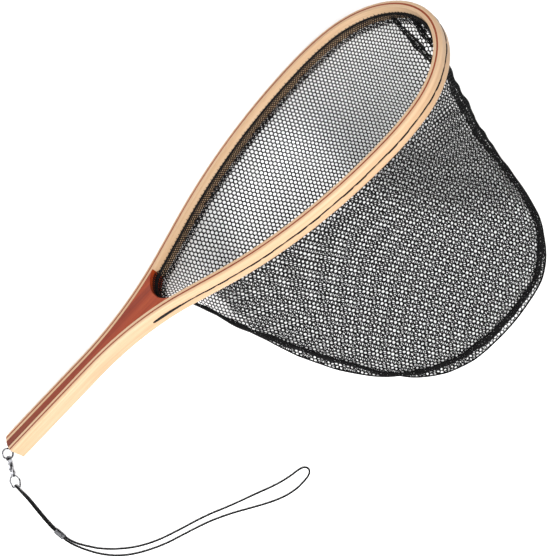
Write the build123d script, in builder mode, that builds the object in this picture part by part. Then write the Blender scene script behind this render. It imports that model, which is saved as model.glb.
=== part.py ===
from build123d import *
import os
from math import asin, cos, degrees, pi, radians, sin, tan

os.makedirs("parts", exist_ok=True)

# ---------------------------------------------------------------------------
# Driving dimensions, in millimetres.
# The net lies as it is put down: one flank of the hoop and the butt of the
# handle touch the ground, the other flank stands up on the opened bag.
# X runs along the handle towards the tip, Z is up.

# where the middle of the butt's top face stands, and how the frame is turned
BUTT_X = -265.3
BUTT_Y = 105.9
PITCH = 8.91          # rise of the handle axis, so that butt and flank both touch down
LEAN = 49.0           # roll about the handle axis
GROUND_CLEARANCE = 0.04

# frame section
FRAME_DEPTH = 16.6    # height of the laminations across the hoop's plane
INNER_PLY = 3.0
ACCENT_PLY = 1.8
OUTER_PLY = 3.7
EDGE_ROUND = 2.5

# half outline of the accent ply's centre line, from the butt to the tip
GRIP_HALF = 8.2
GRIP_RUN = 111.0
FLARE_RADIUS = 285.0
FLARE_TURN = 25.0
FLANK_RUN = 41.0
SIDE_RADIUS = 430.0
SIDE_TURN = 26.0
SHOULDER_RADIUS = 179.0
SHOULDER_TURN = 12.0

BUTT_BULGE = 3.0      # how far the butt is crowned beyond its corners
BUTT_CROWN = 30.0
THROAT_X = 206.6      # bottom of the hollow that ends the core at the hoop
THROAT_RADIUS = 32.0
CORE_END_X = 222.0    # where the core's two horns run out against the inner plies

# lacing
GROOVE_WIDTH = 1.6
GROOVE_DEPTH = 1.3
GROOVE_START_X = 190.0
GROOVE_MOUTH_END_X = 238.0   # the groove widens from here back to its start
GROOVE_MOUTH_TILT = 1.8
LACING_DIAMETER = 1.3
HOLE_RADIUS = 0.8
HOLE_PITCH = 26.0
ROPE_DIAMETER = 2.2
SLACK = 0.05          # air between pieces that lie on each other

# bag
CLOTH = 1.2           # thickness that stands for the knotted mesh
SEAM_DIAMETER = 1.6
FRINGE = 7.0

# butt eye and snap
EYE_RADIUS = 5.3      # centre line of the eye's ring
EYE_WIRE = 0.95       # radius of its wire
EYE_REACH = 11.6
EYE_SHANK = 1.1
EYE_SHANK_DEPTH = 13.0
SNAP_HEADING = 35.0   # from -Y towards -X
CHAIN = 31.0          # from the eye's wire to the bar that the lanyard holds
SNAP_THICK = 3.0
PIN_RADIUS = 0.5
POST_RADIUS = 0.8
LOOP_WIRE = 0.8

# lanyard
CORD = 1.9
STRAND_GAP = 0.15

# ---------------------------------------------------------------------------
# the frame's plane: its origin is the middle of the butt's top face

half_grip = GRIP_HALF + ACCENT_PLY / 2 + OUTER_PLY
outer_face = ACCENT_PLY / 2 + OUTER_PLY
inner_face = -ACCENT_PLY / 2 - INNER_PLY
corner_y = half_grip - EDGE_ROUND
corner_z = FRAME_DEPTH - EDGE_ROUND
butt_height = GROUND_CLEARANCE + EDGE_ROUND + cos(radians(PITCH)) * (
    sin(radians(LEAN)) * corner_y + cos(radians(LEAN)) * corner_z
)

axis_dir = Vector(cos(radians(PITCH)), 0, sin(radians(PITCH)))
level_normal = Vector(-sin(radians(PITCH)), 0, cos(radians(PITCH)))
frame_normal = level_normal * cos(radians(LEAN)) + Vector(0, 1, 0) * sin(radians(LEAN))
frame_plane = Plane(origin=(BUTT_X, BUTT_Y, butt_height), x_dir=axis_dir, z_dir=frame_normal)


def half_outline(offset, start=-BUTT_BULGE):
    """Edges of one half of the hoop and handle, offset outwards from the accent ply."""
    grip = Line((start, GRIP_HALF + offset), (GRIP_RUN, GRIP_HALF + offset))
    flare = JernArc(grip @ 1, grip % 1, FLARE_RADIUS - offset, FLARE_TURN)
    flank = Line(flare @ 1, flare @ 1 + (flare % 1) * FLANK_RUN)
    side = JernArc(flank @ 1, flank % 1, SIDE_RADIUS + offset, -SIDE_TURN)
    shoulder = JernArc(side @ 1, side % 1, SHOULDER_RADIUS + offset, -SHOULDER_TURN)
    heading = FLARE_TURN - SIDE_TURN - SHOULDER_TURN
    tip_radius = (shoulder @ 1).Y / cos(radians(heading))
    tip = JernArc(shoulder @ 1, shoulder % 1, tip_radius, -(90 + heading))
    return [grip, flare, flank, side, shoulder, tip]


def band_face(inner, outer):
    """Face between two offsets, both halves, in the current sketch."""
    with BuildLine() as outline:
        outside = half_outline(outer)
        inside = half_outline(inner)
        Line(outside[0] @ 0, inside[0] @ 0)
        Line(outside[-1] @ 1, inside[-1] @ 1)
    make_face(outline.edges())
    mirror(about=Plane.XZ)


def crown_butt():
    """Round the butt end of the current part."""
    with BuildSketch(frame_plane) as beyond_crown:
        Rectangle(20, 40)
        with Locations((BUTT_CROWN - BUTT_BULGE, 0)):
            Circle(BUTT_CROWN, mode=Mode.SUBTRACT)
    extrude(beyond_crown.sketch, amount=-FRAME_DEPTH, mode=Mode.SUBTRACT)


def to_world(x, y, z=0.0):
    """A point of the frame's plane in the row frame."""
    return frame_plane.from_local_coords(Vector(x, y, z))


# stations of the lacing holes, measured along the accent ply
with BuildLine() as station_line:
    half_outline(0)
station_wire = station_line.wire()
station_length = station_wire.length
first_station = GROOVE_START_X + BUTT_BULGE + 50.0
station_count = int((station_length - first_station) / HOLE_PITCH)
stations = [first_station + HOLE_PITCH * i for i in range(station_count + 1)]
hole_depth = -FRAME_DEPTH / 2


def hole_planes():
    """Planes on the accent ply at each lacing hole, Z pointing outwards."""
    planes = []
    for length in stations:
        point = station_wire.position_at(length, position_mode=PositionMode.LENGTH)
        run = station_wire.tangent_at(length, position_mode=PositionMode.LENGTH)
        for side in (1, -1):
            out = Vector(-run.Y, run.X * side, 0)
            base = to_world(point.X, point.Y * side, hole_depth)
            tip = to_world(point.X + out.X, point.Y * side + out.Y, hole_depth)
            planes.append(Plane(origin=base, z_dir=tip - base))
    return planes


lacing_planes = hole_planes()


def drill_lacing_holes(low, high):
    """Holes through the current part between two offsets."""
    for plane in lacing_planes:
        with BuildSketch(plane.offset(low)) as hole:
            Circle(HOLE_RADIUS)
        extrude(hole.sketch, amount=high - low, mode=Mode.SUBTRACT)


# ---------------------------------------------------------------------------
# wooden frame

with BuildPart() as outer_lamination:
    with BuildSketch(frame_plane):
        band_face(ACCENT_PLY / 2, outer_face)
    extrude(amount=-FRAME_DEPTH)
    rim_edges = outer_lamination.edges().filter_by(
        lambda edge: edge.length > 20
        and abs(frame_plane.to_local_coords(edge @ 0.5).Y) > 1
        and abs(frame_plane.to_local_coords(edge.center()).Z + FRAME_DEPTH / 2) > 1
    )
    with BuildLine() as outer_line:
        half_outline(outer_face)
    outer_wire = outer_line.wire()

    def on_outside(edge):
        spot = frame_plane.to_local_coords(edge @ 0.5)
        return outer_wire.distance_to(Vector(spot.X, abs(spot.Y), 0)) < 0.05

    fillet(rim_edges.filter_by(on_outside), EDGE_ROUND)
    crown_butt()
    with BuildSketch(frame_plane.offset(-FRAME_DEPTH / 2 + GROOVE_WIDTH / 2)):
        band_face(outer_face - GROOVE_DEPTH, outer_face + 1)
        with Locations((GROOVE_START_X / 2 - 10, 0)):
            Rectangle(GROOVE_START_X + 20, 80, mode=Mode.SUBTRACT)
    extrude(amount=-GROOVE_WIDTH, mode=Mode.SUBTRACT)
    for tilt in (GROOVE_MOUTH_TILT, -GROOVE_MOUTH_TILT):
        rise = GROOVE_MOUTH_END_X * sin(radians(tilt))
        mouth_top = frame_plane.offset(-FRAME_DEPTH / 2 + GROOVE_WIDTH / 2 + rise)
        with BuildSketch(mouth_top.rotated((0, tilt, 0))):
            band_face(outer_face - GROOVE_DEPTH, outer_face + 1)
            with Locations((GROOVE_START_X / 2 - 10, 0)):
                Rectangle(GROOVE_START_X + 20, 80, mode=Mode.SUBTRACT)
            with Locations((GROOVE_MOUTH_END_X + 200, 0)):
                Rectangle(400, 260, mode=Mode.SUBTRACT)
        extrude(amount=-GROOVE_WIDTH, mode=Mode.SUBTRACT)
    drill_lacing_holes(0, outer_face + 1)
outer_lamination.part.label = "outer_lamination"
export_step(outer_lamination.part, "parts/outer_lamination.step")

with BuildPart() as accent_lamination:
    with BuildSketch(frame_plane):
        band_face(-ACCENT_PLY / 2, ACCENT_PLY / 2)
    extrude(amount=-FRAME_DEPTH)
    crown_butt()
    drill_lacing_holes(-2, 2)
accent_lamination.part.label = "accent_lamination"
export_step(accent_lamination.part, "parts/accent_lamination.step")

with BuildPart() as inner_lamination:
    with BuildSketch(frame_plane):
        band_face(inner_face, -ACCENT_PLY / 2)
    extrude(amount=-FRAME_DEPTH)
    crown_butt()
    drill_lacing_holes(inner_face - 1, 0)
inner_lamination.part.label = "inner_lamination"
export_step(inner_lamination.part, "parts/inner_lamination.step")

eye_axis_point = to_world(0, 0, -FRAME_DEPTH / 2)
eye_plane = Plane(
    origin=eye_axis_point - axis_dir * EYE_REACH, x_dir=axis_dir, z_dir=level_normal
)
shank_plane = Plane(origin=eye_plane.origin + axis_dir * EYE_RADIUS, z_dir=axis_dir)
shank_length = EYE_REACH - EYE_RADIUS + EYE_SHANK_DEPTH

with BuildPart() as handle_core:
    with BuildSketch(frame_plane):
        with BuildLine():
            core_side = half_outline(inner_face)
            Line(core_side[0] @ 0, (-BUTT_BULGE, 0))
            Line((-BUTT_BULGE, 0), core_side[-1] @ 1)
        make_face()
        mirror(about=Plane.XZ)
        with Locations((THROAT_X + THROAT_RADIUS, 0)):
            Circle(THROAT_RADIUS, mode=Mode.SUBTRACT)
        with Locations((CORE_END_X + 200, 0)):
            Rectangle(400, 240, mode=Mode.SUBTRACT)
    extrude(amount=-FRAME_DEPTH)
    crown_butt()
    with BuildSketch(shank_plane):
        Circle(EYE_SHANK)
    extrude(amount=shank_length, mode=Mode.SUBTRACT)
handle_core.part.label = "handle_core"
export_step(handle_core.part, "parts/handle_core.step")

# ---------------------------------------------------------------------------
# lacing and headrope

mid_plane = frame_plane.offset(-FRAME_DEPTH / 2)
lacing_offset = outer_face - GROOVE_DEPTH + LACING_DIAMETER / 2 + SLACK
rope_offset = inner_face - ROPE_DIAMETER / 2 - SLACK


def rim_wires(offset, start_x):
    """Both halves of the hoop's line at one offset, from start_x to the tip."""
    with BuildLine() as rim:
        half_outline(offset, start=0)
        split(bisect_by=Plane((start_x, 0, 0), z_dir=(1, 0, 0)), keep=Keep.TOP)
    half = rim.wire()
    if (half @ 0).X > (half @ 1).X:
        half = Wire([edge.reversed() for edge in reversed(half.edges())])
    return mid_plane.from_local_coords(half), mid_plane.from_local_coords(half.mirror(Plane.XZ))


def tube(path, radius):
    """Sweep a round section along a path in the current part."""
    with BuildSketch(Plane(origin=path @ 0, z_dir=path % 0)) as section:
        Circle(radius)
    sweep(section.sketch, path=path)


with BuildPart() as lacing_cord:
    for half in rim_wires(lacing_offset, GROOVE_START_X + 2):
        tube(half, LACING_DIAMETER / 2)
lacing_cord.part.label = "lacing_cord"
export_step(lacing_cord.part, "parts/lacing_cord.step")

stitch_low = inner_face - SLACK
stitch_high = lacing_offset - LACING_DIAMETER / 2 - SLACK
with BuildPart() as lacing_stitches:
    for plane in lacing_planes:
        with BuildSketch(plane.offset(stitch_low)):
            Circle(LACING_DIAMETER / 2)
        extrude(amount=stitch_high - stitch_low)
lacing_stitches.part.label = "lacing_stitches"
export_step(lacing_stitches.part, "parts/lacing_stitches.step")

rope_throat_radius = THROAT_RADIUS - ROPE_DIAMETER / 2 - SLACK
rope_start_x = THROAT_X + 19.0
with BuildPart() as net_headrope:
    for half in rim_wires(rope_offset, rope_start_x):
        tube(half, ROPE_DIAMETER / 2)
    throat_reach = 22.0
    throat_turn = degrees(asin(throat_reach / rope_throat_radius))
    with BuildLine() as throat_line:
        CenterArc((THROAT_X + THROAT_RADIUS, 0), rope_throat_radius, 180 - throat_turn, 2 * throat_turn)
    tube(mid_plane.from_local_coords(throat_line.wire()), ROPE_DIAMETER / 2)
net_headrope.part.label = "net_headrope"
export_step(net_headrope.part, "parts/net_headrope.step")

# ---------------------------------------------------------------------------
# bag: two panels that meet along an edge, which leaves the rim at the throat,
# lies on the ground round the bottom of the bag and climbs back to the rim near the tip

BAG_EDGE = [
    (221, -26, 50), (228, -50, 18), (238, -84, 0), (263, -142, 0), (300, -212, 0),
    (329, -243, 0), (378, -265, 0), (430, -270, 0), (479, -261, 0), (512, -235, 0),
    (529, -200, 0), (535, -160, 14), (535, -117, 45), (536, -77, 82), (533, -48, 108),
]
LOWER_STATIONS = [0.035, 0.08, 0.15, 0.23, 0.31, 0.4, 0.5, 0.6, 0.69, 0.77]
UPPER_STATIONS = [0.08, 0.15, 0.23, 0.31, 0.4, 0.5, 0.6, 0.69, 0.77, 0.84, 0.9]
RIM_SPLIT_X = 545.0   # where the bag's edge reaches the raised flank
FOOT_SHARE = 0.12     # how soon the lower panel meets the ground
UPPER_SAG = 0.07

panel_offset = rope_offset - ROPE_DIAMETER / 2 - 2.0
flank_low, flank_high = rim_wires(panel_offset, rope_start_x)
with BuildLine() as edge_line:
    Polyline(*[(BUTT_X + x, BUTT_Y + y, z) for x, y, z in BAG_EDGE])
edge_wire = edge_line.wire()


def length_to_x(wire, frame_x):
    """Length along a rim wire, from its throat end, up to a frame X."""
    low, high = 0.0, wire.length
    for _ in range(30):
        middle = (low + high) / 2
        spot = wire.position_at(middle, position_mode=PositionMode.LENGTH)
        if frame_plane.to_local_coords(spot).X < frame_x:
            low = middle
        else:
            high = middle
    return low


split_length = length_to_x(flank_high, RIM_SPLIT_X)
tip_stretch = flank_high.length - split_length


def lower_rim(share):
    """Point of the rim that the lower panel hangs from."""
    length = share * (flank_low.length + tip_stretch)
    if length <= flank_low.length:
        return flank_low.position_at(length, position_mode=PositionMode.LENGTH)
    back = flank_high.length - (length - flank_low.length)
    return flank_high.position_at(back, position_mode=PositionMode.LENGTH)


def upper_rim(share):
    """Point of the rim that the upper panel hangs from."""
    return flank_high.position_at(share * split_length, position_mode=PositionMode.LENGTH)


def strip_polygon(line, thickness):
    """Closed outline of a strip that lies on an open line of three or four points."""
    above = []
    for i, point in enumerate(line):
        before = (line[i] - line[i - 1]).normalized() if i > 0 else None
        after = (line[i + 1] - line[i]).normalized() if i < len(line) - 1 else None
        runs = [run for run in (before, after) if run is not None]
        normals = [Vector(-run.Y, run.X) for run in runs]
        if len(normals) == 1:
            above.append(point + normals[0] * thickness)
        else:
            total = normals[0] + normals[1]
            above.append(point + total * (thickness / (1 + normals[0].dot(normals[1]))))
    return line + above[::-1]


def panel_section(rim_point, edge_point, shape):
    """Corners of one cross-section, in the upright plane through the rim and the edge."""
    flat = Vector(edge_point.X - rim_point.X, edge_point.Y - rim_point.Y, 0)
    run = flat.normalized()
    foot = Vector(rim_point.X, rim_point.Y, 0)
    corners = shape(flat.length, rim_point.Z, edge_point.Z)
    return [foot + run * corner.X + Vector(0, 0, corner.Y) for corner in corners]


def flat_face(*corners):
    return Face(Wire.make_polygon(corners))


def skinned(sections):
    """Solid of flat facets through a row of cross-sections."""
    faces = [flat_face(*sections[0]), flat_face(*sections[-1])]
    for near, far in zip(sections, sections[1:]):
        for i in range(len(near)):
            quad = [near[i - 1], near[i], far[i], far[i - 1]]
            if i > len(near) // 2:
                # the upper side's diagonals follow the lower side's
                quad = quad[1:] + quad[:1]
            faces.append(flat_face(*quad[:3]))
            faces.append(flat_face(quad[0], quad[2], quad[3]))
    return Solid(Shell(faces))


def lower_shape(reach, rim_z, edge_z):
    foot = min(0.6, FOOT_SHARE + 0.4 * (rim_z - edge_z) / reach)
    line = [Vector(0, rim_z), Vector(foot * reach, edge_z), Vector(reach + FRINGE, edge_z)]
    return strip_polygon(line, CLOTH)


def upper_shape(reach, rim_z, edge_z):
    rest_z = edge_z + CLOTH + SLACK
    landing = reach - 6
    middle = (rim_z + rest_z) / 2 - UPPER_SAG * reach
    line = [
        Vector(0, rim_z), Vector(landing / 2, middle),
        Vector(landing, rest_z), Vector(reach + FRINGE, rest_z),
    ]
    return strip_polygon(line, CLOTH)


for label, rim_at, shape, shares in (
    ("net_lower_panel", lower_rim, lower_shape, LOWER_STATIONS),
    ("net_upper_panel", upper_rim, upper_shape, UPPER_STATIONS),
):
    with BuildPart() as panel:
        sections = [
            panel_section(rim_at(share), edge_wire.position_at(share), shape)
            for share in shares
        ]
        add(skinned(sections))
    panel.part.label = label
    export_step(panel.part, f"parts/{label}.step")


def route_radii(points):
    """Largest tangent radius at each corner: 0.45 of the shorter run."""
    radii = []
    for before, corner, after in zip(points, points[1:], points[2:]):
        run_in = corner - before
        run_out = after - corner
        turn = radians(run_in.get_angle(run_out))
        radii.append(0.45 * min(run_in.length, run_out.length) / tan(turn / 2))
    return radii


def rounded_path(points):
    """Straight runs joined by tangent arcs."""
    with BuildLine() as path:
        FilletPolyline(*points, radius=route_radii(points))
    return path.wire()


with BuildPart() as net_seam:
    seam_lift = 2 * CLOTH + 2 * SLACK + SEAM_DIAMETER / 2
    seam_points = [
        Vector(BUTT_X + x, BUTT_Y + y, z + seam_lift) for x, y, z in BAG_EDGE[2:-1]
    ]
    tube(rounded_path(seam_points), SEAM_DIAMETER / 2)
net_seam.part.label = "net_seam"
export_step(net_seam.part, "parts/net_seam.step")

# ---------------------------------------------------------------------------
# butt eye

with BuildPart() as screw_eye:
    with BuildSketch(Plane(origin=eye_plane.origin + axis_dir * EYE_RADIUS, x_dir=axis_dir,
                           z_dir=axis_dir.cross(level_normal))):
        Circle(EYE_WIRE)
    revolve(axis=Axis(eye_plane.origin, level_normal))
    with BuildSketch(shank_plane):
        Circle(EYE_SHANK)
    extrude(amount=shank_length)
screw_eye.part.label = "screw_eye"
export_step(screw_eye.part, "parts/screw_eye.step")

# ---------------------------------------------------------------------------
# snap hook with its swivel; local X runs along the chain, local Y away from the spine

BAR_HEIGHT = CORD + STRAND_GAP + LOOP_WIRE
SWIVEL_Y = 1.2
heading = Vector(-sin(radians(SNAP_HEADING)), -cos(radians(SNAP_HEADING)), 0)
eye_arm = (heading + level_normal * -heading.dot(level_normal)).normalized()
hang_point = eye_plane.origin + eye_arm * EYE_RADIUS
chain_reach = (CHAIN**2 + SWIVEL_Y**2) ** 0.5
chain_drop = asin((hang_point.Z - BAR_HEIGHT) / chain_reach) + asin(SWIVEL_Y / chain_reach)
chain_dir = heading * cos(chain_drop) + Vector(0, 0, -sin(chain_drop))
bar_dir = Vector(0, 0, 1).cross(heading)
snap_plane = Plane(origin=hang_point, x_dir=chain_dir, z_dir=bar_dir * -1)

HOOK_CENTRE = (1.1, 0.95)
THROAT_HALF = 2.8
HOOK_WALL = 1.85
THROAT_END = 6.2
GATE_Y = (4.2, 5.8)
PIVOT = (10.0, 3.9)
CLEVIS_HALF = 0.95
GATE_HALF = 0.6
SPRING_RADIUS = 0.85
SPRING_WIRE = 0.12
BASE_X = (14.0, 16.2)
COLLAR_X = (16.5, 18.2)


def bar_at(x_range, radius, y=SWIVEL_Y, mode=Mode.ADD):
    """Cylinder along the swivel axis in the current part."""
    start = snap_plane.from_local_coords(Vector(x_range[0], y, 0))
    with BuildSketch(Plane(origin=start, z_dir=chain_dir)) as disc:
        Circle(radius)
    extrude(disc.sketch, amount=x_range[1] - x_range[0], mode=mode)


with BuildPart() as clasp_body:
    with BuildSketch(snap_plane):
        with Locations((HOOK_CENTRE[0] + THROAT_END / 2, HOOK_CENTRE[1])):
            SlotCenterToCenter(THROAT_END, 2 * (THROAT_HALF + HOOK_WALL))
        with Locations((11.5, SWIVEL_Y)):
            Rectangle(7, 6.4)
        with Locations((HOOK_CENTRE[0] + (THROAT_END - 1.6) / 2, HOOK_CENTRE[1])):
            SlotCenterToCenter(THROAT_END - 1.6, 2 * THROAT_HALF, mode=Mode.SUBTRACT)
        with Locations((4.0, 5.2)):
            Rectangle(9.6, 3.0, mode=Mode.SUBTRACT)
        with Locations((0.6, 4.8)):
            Rectangle(2.8, 3.8, mode=Mode.SUBTRACT)
        with Locations((12.9, SWIVEL_Y)):
            Rectangle(2.0, 4.0, mode=Mode.SUBTRACT)
    extrude(amount=SNAP_THICK / 2, both=True)
    bar_at(BASE_X, 2.6)
    with BuildSketch(snap_plane):
        with Locations((9.2, 4.2)):
            Rectangle(5.6, 4.4)
    extrude(amount=CLEVIS_HALF, both=True, mode=Mode.SUBTRACT)
    with BuildSketch(snap_plane):
        with Locations(PIVOT):
            Circle(PIN_RADIUS)
    extrude(amount=SNAP_THICK, both=True, mode=Mode.SUBTRACT)
    bar_at((BASE_X[0] - 0.5, BASE_X[1] + 1), POST_RADIUS + 0.04, mode=Mode.SUBTRACT)
clasp_body.part.label = "clasp_body"
export_step(clasp_body.part, "parts/clasp_body.step")

with BuildPart() as gate_pin:
    with BuildSketch(snap_plane):
        with Locations(PIVOT):
            Circle(PIN_RADIUS)
    extrude(amount=SNAP_THICK / 2, both=True)
gate_pin.part.label = "gate_pin"
export_step(gate_pin.part, "parts/gate_pin.step")

with BuildPart() as gate_spring:
    for level in (0.68, 0.78):
        with BuildSketch(snap_plane.offset(level)):
            with Locations(PIVOT):
                Circle(SPRING_RADIUS + SPRING_WIRE)
                Circle(SPRING_RADIUS - SPRING_WIRE, mode=Mode.SUBTRACT)
            with Locations((PIVOT[0] + 1.0, PIVOT[1] - SPRING_RADIUS)):
                Rectangle(1.6, 2 * SPRING_WIRE)
        extrude(amount=SPRING_WIRE)
gate_spring.part.label = "gate_spring"
export_step(gate_spring.part, "parts/gate_spring.step")

with BuildPart() as clasp_gate:
    with BuildSketch(snap_plane):
        with Locations((4.4, sum(GATE_Y) / 2)):
            Rectangle(9.0, GATE_Y[1] - GATE_Y[0])
        with Locations((8.6, 5.6)):
            Rectangle(1.6, 3.2)
        with Locations(PIVOT):
            Circle(1.5)
            Circle(PIN_RADIUS + 0.04, mode=Mode.SUBTRACT)
    extrude(amount=GATE_HALF, both=True)
clasp_gate.part.label = "clasp_gate"
export_step(clasp_gate.part, "parts/clasp_gate.step")

with BuildPart() as swivel_eye:
    bar_at((BASE_X[0] - 1.4, BASE_X[0] - 0.4), 1.5)
    bar_at((BASE_X[0] - 0.5, COLLAR_X[0] + 0.5), POST_RADIUS)
    bar_at(COLLAR_X, 2.2)
    loop_plane = Plane(
        origin=snap_plane.from_local_coords(Vector(0, SWIVEL_Y, 0)),
        x_dir=chain_dir,
        z_dir=snap_plane.y_dir,
    )
    half_loop = [(CHAIN, 3.7), (23.5, 4.9), (COLLAR_X[1] + 0.5, 2.6)]
    loop_points = half_loop + [(x, -y) for x, y in reversed(half_loop)]
    with BuildLine() as loop_line:
        FilletPolyline(*loop_points, radius=1.3, close=True)
    loop_wire = loop_plane.from_local_coords(loop_line.wire())
    tube(loop_wire, LOOP_WIRE)
swivel_eye.part.label = "swivel_eye"
export_step(swivel_eye.part, "parts/swivel_eye.step")

# ---------------------------------------------------------------------------
# lanyard: a doubled lead from the swivel's bar to a crimp, then the wrist loop.
# Route points are given from the spot on the ground below the butt.

LEAD_ROUTE = [
    (-35.58, -96.5, 1.7), (-35.8, -88, 1.4), (-35.4, -79, 0.95), (-34.1, -66, 0.95),
    (-32.5, -54, 0.95), (-31.9, -44.5, 0.95), (-31.5, -38, 0.95), (-31.3, -32.5, 0.95),
    (-29.9, -33.2, 4.75), (-29.7, -38.5, 4.6), (-30.0, -44.5, 3.0), (-30.6, -54, 0.95),
    (-32.1, -66, 0.95), (-33.4, -79, 0.95), (-33.84, -88, 1.4), (-33.62, -96.5, 1.7),
]
LOOP_ROUTE = [
    (-33.42, -99.5, 1.7), (-32.6, -108, 1.2), (-30.0, -116, 0.95), (-24.8, -125.5, 0.95),
    (-17.5, -137, 0.95), (-6, -149.5, 0.95), (9, -162, 0.95), (28, -172.5, 0.95),
    (52, -181, 0.95), (78, -189.2, 0.95), (103, -200.5, 0.95), (128, -210, 0.95),
    (150, -219, 0.95), (166, -223, 0.95), (175.5, -224.2, 0.95), (181.6, -226.5, 0.95),
    (183.4, -231.2, 0.95), (180.3, -235, 0.95), (173.5, -236.2, 0.95), (160, -236.4, 0.95),
    (142, -231.5, 0.95), (120, -219.5, 0.95), (98, -206.2, 0.95), (76, -195.5, 0.95),
    (52, -187.3, 0.95), (28, -179.3, 0.95), (5, -167, 0.95), (-9.5, -155.5, 0.95),
    (-20, -142.5, 0.95), (-27.5, -129, 0.95), (-32.2, -117.5, 0.95), (-34.9, -108, 1.2),
    (-35.38, -99.5, 1.7),
]
CRIMP_ENDS = ((-34.95, -92.5), (-34.1, -103.5))
CRIMP_CENTRE_Z = 1.7

for label, route in (("lanyard_lead", LEAD_ROUTE), ("wrist_loop", LOOP_ROUTE)):
    route_points = [Vector(BUTT_X + x, BUTT_Y + y, z) for x, y, z in route]
    cord_path = rounded_path(route_points)
    print(label, "length", round(cord_path.length, 1),
          "radii", [round(radius, 1) for radius in route_radii(route_points)])
    with BuildPart() as cord:
        tube(cord_path, CORD / 2)
    cord.part.label = label
    export_step(cord.part, f"parts/{label}.step")

with BuildPart() as crimp_sleeve:
    crimp_start, crimp_end = [
        Vector(BUTT_X + x, BUTT_Y + y, CRIMP_CENTRE_Z) for x, y in CRIMP_ENDS
    ]
    with BuildSketch(Plane(origin=crimp_start, x_dir=(crimp_end - crimp_start).cross(Vector(0, 0, 1)),
                           z_dir=crimp_end - crimp_start)):
        SlotOverall(5.6, 3.4)
        SlotOverall(4.4, 2.3, mode=Mode.SUBTRACT)
    extrude(amount=(crimp_end - crimp_start).length)
crimp_sleeve.part.label = "crimp_sleeve"
export_step(crimp_sleeve.part, "parts/crimp_sleeve.step")
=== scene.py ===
from math import cos, pi, radians, sin, sqrt

import bmesh
import bpy
import numpy as np
from mathutils import Matrix, Vector, kdtree, noise


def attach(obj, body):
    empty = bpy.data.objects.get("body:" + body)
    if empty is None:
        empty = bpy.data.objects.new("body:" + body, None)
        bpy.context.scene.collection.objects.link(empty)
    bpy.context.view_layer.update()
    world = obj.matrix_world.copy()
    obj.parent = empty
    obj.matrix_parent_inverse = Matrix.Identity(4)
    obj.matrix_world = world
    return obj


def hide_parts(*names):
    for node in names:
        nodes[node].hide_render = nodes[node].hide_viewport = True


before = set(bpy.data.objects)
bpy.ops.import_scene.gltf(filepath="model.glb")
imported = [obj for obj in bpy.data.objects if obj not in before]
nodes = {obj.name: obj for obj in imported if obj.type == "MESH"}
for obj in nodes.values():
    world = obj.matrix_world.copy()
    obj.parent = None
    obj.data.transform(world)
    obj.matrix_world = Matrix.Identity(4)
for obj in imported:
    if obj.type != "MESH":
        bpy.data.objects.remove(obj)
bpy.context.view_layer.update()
scene = bpy.context.scene
MM = 0.001

# ---------------------------------------------------------------------------
# where the frame lies: its own X runs from the butt to the tip, its Z looks out of the mouth

BUTT = Vector((-0.2653, 0.1059, 0.01935851))
PITCH = radians(8.91)
LEAN = radians(49.0)
FRAME_DEPTH = 16.6 * MM
INNER_FACE = -3.9 * MM
OUTER_FACE = 4.6 * MM
GROOVE_DEPTH = 1.3 * MM
GROOVE_START_X = 190 * MM
THROAT_X = 206.6 * MM
THROAT_RADIUS = 32 * MM
THROAT_TURN = 0.72           # half the angle of the hollow that the net follows
ROPE_WIDTH = 2.2 * MM
BUTT_SPOT = Vector((BUTT.x, BUTT.y, 0))

hoop_turn = Matrix.Rotation(-PITCH, 4, "Y") @ Matrix.Rotation(-LEAN, 4, "X")
hoop = Matrix.Translation(BUTT) @ hoop_turn

# one half of the accent ply's line, as runs: length along it, and turn in radians per metre
GRIP_HALF = 8.2 * MM
RUNS = [
    (0.111, 0.0),
    (radians(25) * 0.285, 1 / 0.285),
    (0.041, 0.0),
    (radians(26) * 0.430, -1 / 0.430),
    (radians(12) * 0.179, -1 / 0.179),
]


def run_end(place, heading, length, bend):
    """Where a straight or evenly bent run ends."""
    if bend == 0:
        return place + Vector((cos(heading), sin(heading))) * length, heading
    turned = heading + bend * length
    chord = Vector((sin(turned) - sin(heading), cos(heading) - cos(turned))) / bend
    return place + chord, turned


def lay_out_runs():
    laid, place, heading, done = [], Vector((0, GRIP_HALF)), 0.0, 0.0
    for length, bend in RUNS:
        laid.append((done, place, heading, bend))
        place, heading = run_end(place, heading, length, bend)
        done += length
    tip_radius = place.y / cos(heading)
    laid.append((done, place, heading, -1 / tip_radius))
    return laid, done + tip_radius * (pi / 2 + heading)


LAID_RUNS, HALF_LENGTH = lay_out_runs()
THROAT_LENGTH = 0.226        # where the inner faces leave the handle's core


def rim_spot(along, outward=0.0):
    """Point of the hoop's plane at a length along one half of the frame, from the butt."""
    start, place, heading, bend = [run for run in LAID_RUNS if run[0] <= max(along, 0)][-1]
    spot, turned = run_end(place, heading, along - start, bend)
    return spot + Vector((-sin(turned), cos(turned))) * outward


def rim_point(along, outward=0.0, depth=0.0, side=1):
    spot = rim_spot(along, outward)
    return hoop @ Vector((spot.x, spot.y * side, depth))


def round_the_hoop(share):
    """Length and side for a share of the way round: -1 and 1 are the throat, 0 the tip."""
    return HALF_LENGTH - abs(share) * (HALF_LENGTH - THROAT_LENGTH), 1 if share < 0 else -1


# ---------------------------------------------------------------------------
# camera, light and floor

CAMERA_PLACE = Vector((0.00331, 0.02874, 1.00121))
CAMERA_TARGET = Vector((0.03024, 0.03094, 0.0))
CAMERA_RIGHT = Vector((0.69624, -0.71760, 0.01715))
CAMERA_LENS = 64.516


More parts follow.
